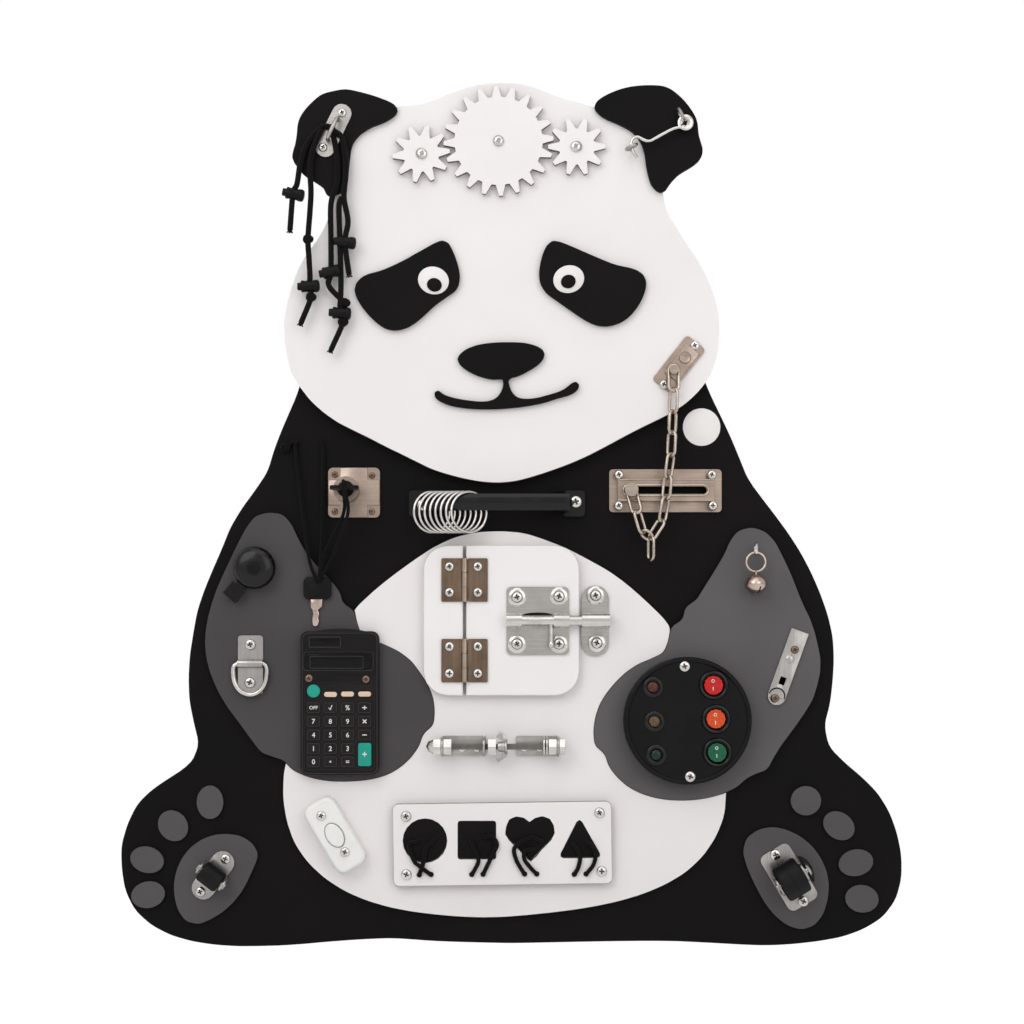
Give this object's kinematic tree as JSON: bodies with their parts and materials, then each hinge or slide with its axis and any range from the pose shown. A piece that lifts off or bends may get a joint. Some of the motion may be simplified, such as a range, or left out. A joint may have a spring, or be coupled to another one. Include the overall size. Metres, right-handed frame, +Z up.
{
  "type": "wooden busy board",
  "caption": "Panda-shaped wooden wall board with gears, latches, a small door, switches, shape inserts, bells and casters that a toddler can turn, slide, press and open.",
  "frame": {"origin": "on the flat wall face, at the middle of the board", "axes": "+X to the right as seen from the front, +Y into the wall, +Z up; the fittings face -Y"},
  "size_m": [0.6243, 0.0587, 0.6882],
  "materials": {
    "black_paint": "satin black paint on wood",
    "white_paint": "satin white paint on wood, brown cut edge",
    "dark_grey_paint": "satin dark grey paint on wood",
    "grey_paint": "satin grey paint on wood",
    "black_plastic": "moulded black plastic",
    "white_plastic": "moulded white plastic",
    "steel": "zinc-plated steel",
    "nickel": "satin nickel plate",
    "bronze": "aged bronze",
    "black_rubber": "hard black rubber",
    "rope": "braided cord",
    "red_plastic": "clear red plastic",
    "orange_plastic": "clear orange plastic",
    "green_plastic": "clear green plastic",
    "keypad": "grey rubber keys"
  },
  "bodies": {
    "board": {"backing_board": "black_paint", "head_panel": "white_paint", "left_ear_panel": "black_paint", "right_ear_panel": "black_paint", "belly_panel": "white_paint", "left_arm_panel": "dark_grey_paint", "right_arm_panel": "grey_paint", "left_eye_patch": "black_paint", "right_eye_patch": "black_paint", "nose_and_mouth": "black_paint", "lacing_ropes": "rope", "chain_anchor_plate": "nickel", "door_chain": "nickel", "chain_keeper": "nickel", "cabinet_lock": "nickel", "key_cord": "rope", "bow_handle": "black_plastic", "bell_dome": "black_plastic", "d_ring_bracket": "steel", "calculator_case": "black_plastic", "calculator_keypad": "keypad", "door_hinge_strip": "white_paint", "upper_hinge_fixed_leaf": "bronze", "lower_hinge_fixed_leaf": "bronze", "bolt_keeper": "steel", "left_rod_bracket": "steel", "right_rod_bracket": "steel", "threaded_rod": "steel", "switch_housing": "black_plastic", "touch_switch_case": "white_plastic", "shape_tray": "white_paint", "left_caster_frame": "steel", "right_caster_frame": "steel"},
    "door": {"door_leaf": "white_paint", "upper_hinge_moving_leaf": "bronze", "lower_hinge_moving_leaf": "bronze", "bolt_plate": "steel"},
    "center_gear": {"center_gear": "white_paint"},
    "left_gear": {"left_gear": "white_paint"},
    "right_gear": {"right_gear": "white_paint"},
    "cabin_hook": {"cabin_hook": "steel"},
    "chain_knob": {"chain_knob": "nickel"},
    "lock_key": {"lock_key": "black_plastic"},
    "key_rings": {"key_rings": "steel"},
    "bell_lever": {"bell_lever": "black_plastic"},
    "d_ring": {"d_ring": "steel"},
    "calculator_plus_key": {"calculator_plus_key": "green_plastic"},
    "bolt_rod": {"bolt_rod": "steel"},
    "wing_nut": {"wing_nut": "steel"},
    "red_rocker": {"red_rocker": "red_plastic"},
    "orange_rocker": {"orange_rocker": "orange_plastic"},
    "green_rocker": {"green_rocker": "green_plastic"},
    "ring_bell": {"ring_bell": "nickel"},
    "touch_switch_button": {"touch_switch_button": "white_plastic"},
    "circle_insert": {"circle_insert": "black_paint"},
    "square_insert": {"square_insert": "black_paint"},
    "heart_insert": {"heart_insert": "black_paint"},
    "triangle_insert": {"triangle_insert": "black_paint"},
    "left_caster_wheel": {"left_caster_wheel": "black_rubber"},
    "right_caster_wheel": {"right_caster_wheel": "black_rubber"}
  },
  "joints": [
    {"name": "center_gear_spin", "type": "hinge", "parent": "board", "child": "center_gear", "pos_m": [-0.00983, -0.0221, 0.29528], "axis": [0, 1, 0], "continuous": true},
    {"name": "left_gear_spin", "type": "hinge", "parent": "board", "child": "left_gear", "pos_m": [-0.07125, -0.0221, 0.28511], "axis": [0, 1, 0], "continuous": true},
    {"name": "right_gear_spin", "type": "hinge", "parent": "board", "child": "right_gear", "pos_m": [0.05225, -0.0221, 0.29072], "axis": [0, 1, 0], "continuous": true},
    {"name": "hook_swing", "type": "hinge", "parent": "board", "child": "cabin_hook", "pos_m": [0.13684, -0.0298, 0.31043], "axis": [0, 1, 0], "range_deg": [0, 60]},
    {"name": "chain_knob_slide", "type": "slide", "parent": "board", "child": "chain_knob", "axis": [1, 0, 0], "range_m": [0, 0.056], "deforming": ["door_chain"]},
    {"name": "key_turn", "type": "hinge", "parent": "board", "child": "lock_key", "pos_m": [-0.1307, -0.0303, 0.01865], "axis": [0, 1, 0], "range_deg": [0, 90], "deforming": ["key_cord"]},
    {"name": "key_rings_slide", "type": "slide", "parent": "board", "child": "key_rings", "axis": [1, 0, 0], "range_m": [0, 0.057]},
    {"name": "bell_lever_press", "type": "hinge", "parent": "board", "child": "bell_lever", "pos_m": [-0.20946, -0.01895, -0.05034], "axis": [0, 1, 0], "range_deg": [0, 25], "stiffness_Nm_per_rad": 0.02, "springref_deg": -20.05},
    {"name": "d_ring_swing", "type": "hinge", "parent": "board", "child": "d_ring", "pos_m": [-0.20767, -0.0192, -0.11951], "axis": [-1, 0, 0], "range_deg": [0, 165]},
    {"name": "plus_key_press", "type": "slide", "parent": "board", "child": "calculator_plus_key", "axis": [0, 1, 0], "range_m": [0, 0.001], "stiffness_N_per_m": 300},
    {"name": "door_swing", "type": "hinge", "parent": "board", "child": "door", "pos_m": [-0.03684, -0.0252, -0.08521], "axis": [0, 0, -1], "range_deg": [0, 105]},
    {"name": "bolt_slide", "type": "slide", "parent": "door", "child": "bolt_rod", "axis": [-1, 0, 0], "range_m": [0, 0.021]},
    {"name": "wing_nut_spin", "type": "hinge", "parent": "board", "child": "wing_nut", "pos_m": [-0.00651, -0.0281, -0.18517], "axis": [1, 0, 0], "continuous": true},
    {"name": "red_rocker_tilt", "type": "hinge", "parent": "board", "child": "red_rocker", "pos_m": [0.16005, -0.0313, -0.13667], "axis": [1, 0, 0], "range_deg": [0, 20]},
    {"name": "orange_rocker_tilt", "type": "hinge", "parent": "board", "child": "orange_rocker", "pos_m": [0.16187, -0.0313, -0.16321], "axis": [1, 0, 0], "range_deg": [0, 20]},
    {"name": "green_rocker_tilt", "type": "hinge", "parent": "board", "child": "green_rocker", "pos_m": [0.16289, -0.0313, -0.18984], "axis": [1, 0, 0], "range_deg": [0, 20]},
    {"name": "ring_bell_swing", "type": "hinge", "parent": "board", "child": "ring_bell", "pos_m": [0.19426, -0.0244, -0.03345], "axis": [0, 1, 0], "range_deg": [-30, 30]},
    {"name": "switch_button_press", "type": "slide", "parent": "board", "child": "touch_switch_button", "axis": [0, 1, 0], "range_m": [0, 0.0015], "stiffness_N_per_m": 400},
    {"name": "circle_insert_pull", "type": "slide", "parent": "board", "child": "circle_insert", "axis": [0, -1, 0], "range_m": [0, 0.012]},
    {"name": "square_insert_pull", "type": "slide", "parent": "board", "child": "square_insert", "axis": [0, -1, 0], "range_m": [0, 0.012]},
    {"name": "heart_insert_pull", "type": "slide", "parent": "board", "child": "heart_insert", "axis": [0, -1, 0], "range_m": [0, 0.012]},
    {"name": "triangle_insert_pull", "type": "slide", "parent": "board", "child": "triangle_insert", "axis": [0, -1, 0], "range_m": [0, 0.012]},
    {"name": "left_wheel_spin", "type": "hinge", "parent": "board", "child": "left_caster_wheel", "pos_m": [-0.23768, -0.0252, -0.28841], "axis": [0.7944, 0, -0.6074], "continuous": true},
    {"name": "right_wheel_spin", "type": "hinge", "parent": "board", "child": "right_caster_wheel", "pos_m": [0.22173, -0.0313, -0.28992], "axis": [0.8572, 0, 0.515], "continuous": true}
  ],
  "couplings": [
    {"joint": "left_gear_spin", "follows": "center_gear_spin", "ratio": -2},
    {"joint": "right_gear_spin", "follows": "center_gear_spin", "ratio": -2}
  ]
}
